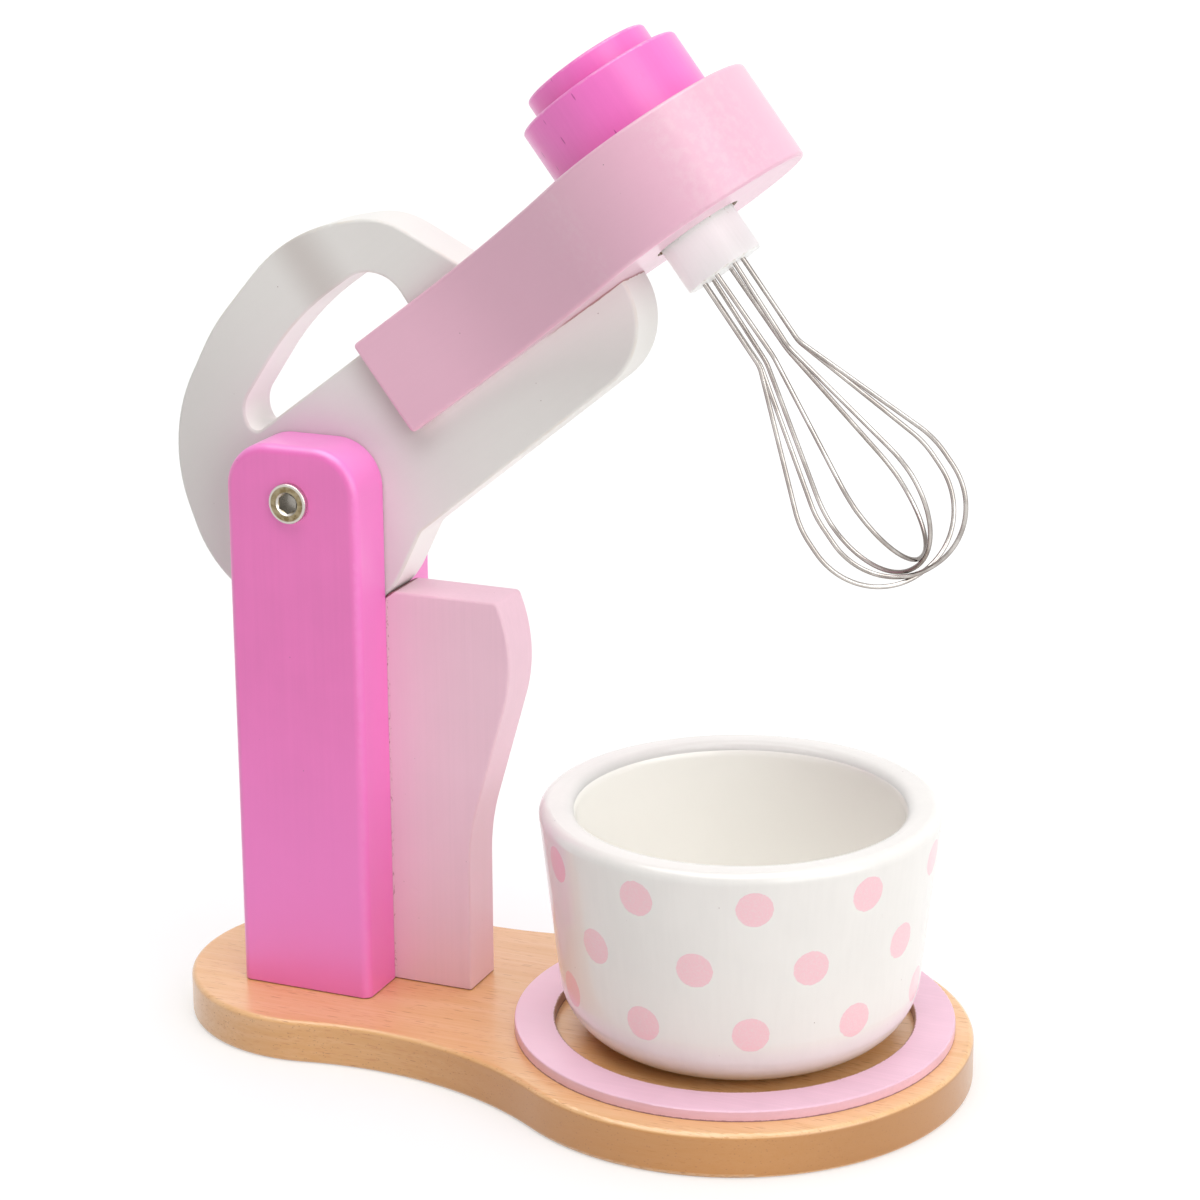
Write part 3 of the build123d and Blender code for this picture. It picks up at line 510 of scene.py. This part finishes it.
def bowl_look():
    """Gloss white paint with three staggered rows of dots round the outside."""
    look = Look("bowl_paint", IOR=1.5, Coat_Weight=0.6, Coat_Roughness=0.08, Coat_IOR=1.5)
    where = look.spot
    shade, rough, normal = paint(look, where, BOWL_WHITE, (1.6, 1.6, 30.0), 0.2, peel=0.006,
                                 roughness=0.32, dents=0.03, tint=0.97)
    x, y, z = look.parts(where)[:3]
    x = look.maths("SUBTRACT", x, BOWL_X)
    outward = look.joined(x, y, 0.0)
    radius = look.length(outward)
    angle = look.maths("DEGREES", look.maths("ARCTAN2", y, x))
    dots = None
    for height, first, step, count in DOT_ROWS:
        start = first - (DOTS_BEHIND + 0.5) * step
        turned = look.maths("FLOORED_MODULO", look.maths("SUBTRACT", angle, start), 360.0)
        offset = look.maths("SUBTRACT", look.maths("FLOORED_MODULO", turned, step), step / 2)
        round_bowl = look.maths("MULTIPLY", look.maths("RADIANS", offset), radius)
        gap = look.joined(round_bowl, look.maths("SUBTRACT", z, height), 0.0)
        wobble = look.maths("MULTIPLY_ADD", look.noise(where, 1.2, 2.0), 0.5, look.length(gap))
        dot = look.both(look.ramp(wobble, DOT_R + 0.32, DOT_R + 0.18),
                        look.maths("LESS_THAN", turned, step * count))
        dots = dot if dots is None else look.maths("MAXIMUM", dots, dot)
    out = look.along(outward, look.facing)
    dots = look.both(dots, look.maths("GREATER_THAN", out, 3.0))
    # painted light: the inside of the bowl is a brighter white than its outside
    bowl_inside_painted_light = look.both(look.maths("LESS_THAN", out, -2.0), look.maths("LESS_THAN", z, BOWL_LIP_Z))
    shade = look.mix(bowl_inside_painted_light, shade, BOWL_INSIDE_PAINTED_LIGHT)
    cover = look.maths("MULTIPLY_ADD", look.patch(where, 0.55, 3.0, 0.7, 0.30, 0.60), 0.22, 0.78)
    shade = look.mix(look.both(dots, cover), shade, DOT_PINK)
    # painted shade: the bowl's foot is mixed towards brown just above the board
    bowl_foot_painted_shade = look.ramp(z, BOARD_TOP_Z + 1.6, BOARD_TOP_Z)
    shade = look.mix(look.part(bowl_foot_painted_shade, 0.5), shade, BOWL_FOOT_PAINTED_SHADE)
    normal = look.bump(dots, 0.012, normal)
    # the lip is shaded as if it were flat, with a crisp inner edge
    lip = look.both(look.ramp(z, BOWL_LIP_Z - 0.1, BOWL_LIP_Z + 0.1),
                    look.ramp(radius, BOWL_LIP_R + 0.3, BOWL_LIP_R - 0.3))
    flat = look.add("Mix", props={"data_type": "VECTOR"})
    for index, value in ((0, lip), (4, normal), (5, (0.0, 0.0, 1.0))):
        look.feed(flat.inputs[index], value)
    return look.finish(shade, rough, flat.outputs[1])


def wire_look():
    look = Look("drawn_wire", Metallic=1.0)
    where = look.in_arm(look.spot)
    drawn = look.noise(where, (0.12, 0.12, 9.0), 3.0, 0.7)
    patch = look.noise(where, (4.0, 4.0, 12.0), 3.0, 0.6)
    shade = look.mix(look.ramp(patch, 0.32, 0.68), *WIRE_TONES)
    shade = look.mix(look.part(look.ramp(drawn, 0.5, 0.75), 0.3), shade, WIRE_DRAWN)
    # painted light and shade: the wires are bright where they face one fixed way and dark on the
    # sides square to it
    wire_facing_light = look.maths("ABSOLUTE", look.along(look.facing, WIRE_PAINTED_LIGHT_WAY))
    shade = look.mix(look.part(look.ramp(wire_facing_light, 0.85, 0.45), 0.85), shade, WIRE_PAINTED_SHADE)
    rough = look.maths("MULTIPLY_ADD", patch, 0.16, 0.16)
    return look.finish(shade, rough, look.bump(drawn, 0.010))


def pivot_look():
    """The pivot's disc: yellow zinc face with turning marks, rubbed rims and a grey socket."""
    look = Look("yellow_zinc", Metallic=1.0)
    where = look.spot
    from_pivot = look.vector("SUBTRACT", where, PIVOT)
    x, y, z = look.parts(from_pivot)[:3]
    radius = look.length(look.joined(x, 0.0, z))
    patch = look.noise(where, 1.8, 3.0, 0.6)
    shade = look.mix(look.ramp(patch, 0.35, 0.65), *ZINC_TONES)
    rim = look.ramp(radius, PIVOT_RIM_R - 0.15, PIVOT_RIM_R + 0.2)
    mouth = look.both(look.ramp(radius, HEX_MOUTH_R + 0.1, HEX_MOUTH_R - 0.1),
                      look.ramp(radius, HEX_REACH - 0.3, HEX_REACH - 0.1))
    shade = look.mix(look.part(look.maths("MAXIMUM", rim, mouth), 0.9), shade, ZINC_RUBBED)
    deep = look.ramp(look.maths("ABSOLUTE", y), POST_FACE_Y + 1.15, POST_FACE_Y + 0.9)
    socket = look.both(deep, look.ramp(radius, HEX_REACH + 0.3, HEX_REACH + 0.1))
    shade = look.mix(socket, shade, SOCKET)
    turning = look.maths("SINE", look.part(radius, 2 * math.pi / TURNING_PITCH))
    normal = look.bump(turning, 0.004)
    normal = look.bump(look.noise(where, 0.25, 2.0), 0.008, normal)
    rough = look.maths("MULTIPLY_ADD", patch, 0.18, 0.20)
    return look.finish(shade, rough, normal)


def steel_look(name, tone, stain):
    look = Look(name, Metallic=1.0)
    patch = look.noise(look.spot, 2.0, 4.0, 0.65)
    shade = look.mix(look.ramp(patch, 0.35, 0.70), tone, stain)
    normal = look.bump(look.noise(look.spot, 0.3, 3.0), 0.010)
    return look.finish(shade, look.maths("MULTIPLY_ADD", patch, 0.25, 0.22), normal)


def plain_wood_look():
    look = Look("plain_wood", IOR=1.45)
    where = look.spot
    fibre = look.noise(where, (0.5, 6.0, 6.0), 4.0, 0.65)
    band = look.noise(where, (2.5, 30.0, 30.0), 2.0)
    tone = look.maths("ADD", look.part(fibre, 0.6), look.part(band, 0.6))
    shade = look.mix(look.ramp(tone, 0.42, 0.78), *PLAIN_WOOD_TONES)
    return look.finish(shade, look.maths("MULTIPLY_ADD", fibre, 0.2, 0.6), look.bump(fibre, 0.03))


def nylon_look():
    look = Look("nylon", IOR=1.53, Subsurface_Weight=0.2, Subsurface_Scale=0.001)
    mottle = look.noise(look.spot, 1.5, 3.0)
    shade = look.mix(look.ramp(mottle, 0.3, 0.7), *NYLON_TONES)
    return look.finish(shade, look.maths("MULTIPLY_ADD", mottle, 0.2, 0.4), look.bump(mottle, 0.02))


def dress(material, *names):
    for name in names:
        slots = nodes[name].data.materials
        slots.clear()
        slots.append(material)


dress(board_look(), "base_board")
dress(ring_look(), "bowl_ring")
dress(post_look(), "left_post", "right_post")
dress(block_look(), "front_block")
dress(arm_look(), "arm")
dress(head_look(), "head_block")
dress(knob_look(), "knob_base", "knob_cap")
dress(collar_look(), "whisk_collar")
dress(bowl_look(), "bowl")
dress(wire_look(), *(f"whisk_wire_{i}" for i in range(1, 5)))
dress(pivot_look(), "pivot_sleeve_nut", "pivot_bolt")
dress(steel_look("zinc_screw", (0.62, 0.56, 0.42), (0.45, 0.38, 0.26)), "base_screws")
dress(steel_look("bare_steel", (0.55, 0.55, 0.56), (0.36, 0.34, 0.33)), "head_pins", "knob_screw")
dress(plain_wood_look(), "post_dowels", "spindle")
dress(nylon_look(), "thrust_washer")


# ---- floor, room, lamps and camera ---------------------------------------------------------
def make_floor():
    """White paper. Where it is seen, part of its white takes no shadow."""
    mesh = bpy.data.meshes.new("floor")
    corners = [(x * FLOOR_HALF, y * FLOOR_HALF, 0) for x, y in ((-1, -1), (1, -1), (1, 1), (-1, 1))]
    mesh.from_pydata(corners, [], [(0, 1, 2, 3)])
    floor = bpy.data.objects.new("floor", mesh)
    scene.collection.objects.link(floor)
    material = bpy.data.materials.new("white_paper")
    net = Net(material)
    net.tree.nodes.clear()
    paper = net.add("BsdfDiffuse", Color=(*(FLOOR_BOUNCE,) * 3, 1))
    shadowed = net.add("BsdfDiffuse", Color=(*(1 - FLOOR_LIFT,) * 3, 1))
    glow = net.add("Emission", Color=PURE_WHITE, Strength=FLOOR_LIFT)
    seen = net.add("AddShader", shadowed.outputs[0], glow.outputs[0])
    choice = net.add("MixShader", net.seen_rays(), paper.outputs[0], seen.outputs[0])
    net.add("OutputMaterial", Surface=choice.outputs[0])
    mesh.materials.append(material)


def make_room():
    """The world: white where it is seen, and elsewhere light that is strongest from behind."""
    scene.world = bpy.data.worlds.new("room")
    net = Net(scene.world)
    net.tree.nodes.clear()
    right, behind = net.add("SeparateXYZ", net.add("TexCoord").outputs["Generated"]).outputs[:2]
    slope = net.maths("MULTIPLY_ADD", right, ROOM_LIGHT * ROOM_SLOPE, ROOM_LIGHT)
    strength = net.maths("ADD", slope, net.ramp(behind, *ROOM_BEHIND_FROM, top=ROOM_BEHIND))
    light = net.add("Background", Color=PURE_WHITE, Strength=strength)
    white = net.add("Background", Color=PURE_WHITE, Strength=1.0)
    choice = net.add("MixShader", net.seen_rays(), light.outputs[0], white.outputs[0])
    net.add("OutputWorld", Surface=choice.outputs[0])


def make_lamps():
    for name, facts in LAMPS.items():
        lamp = bpy.data.lights.new(name, "SUN")
        lamp.energy = facts["strength"]
        lamp.angle = math.radians(facts["width"])
        lamp.color = facts["colour"]
        placed = bpy.data.objects.new(name, lamp)
        scene.collection.objects.link(placed)
        placed.rotation_euler = (-Vector(facts["from"])).to_track_quat("-Z", "Y").to_euler()


def make_camera():
    data = bpy.data.cameras.new("camera")
    data.sensor_width = SENSOR
    data.lens = FOCAL_PX / IMAGE_SIZE * SENSOR
    data.shift_x = 0.5 - CENTRE_PX[0] / IMAGE_SIZE
    data.shift_y = CENTRE_PX[1] / IMAGE_SIZE - 0.5
    data.clip_start = 0.01
    camera = bpy.data.objects.new("camera", data)
    scene.collection.objects.link(camera)
    turn = Matrix.Rotation(math.radians(CAMERA_AZIMUTH), 4, "Z")
    tilt = Matrix.Rotation(math.radians(90 - CAMERA_ELEVATION), 4, "X")
    roll = Matrix.Rotation(math.radians(-CAMERA_ROLL), 4, "Z")
    camera.matrix_world = Matrix.Translation(Vector(CAMERA_PLACE) * MM) @ turn @ tilt @ roll
    scene.camera = camera


make_floor()
make_room()
make_lamps()
make_camera()
scene.view_settings.view_transform = "Standard"
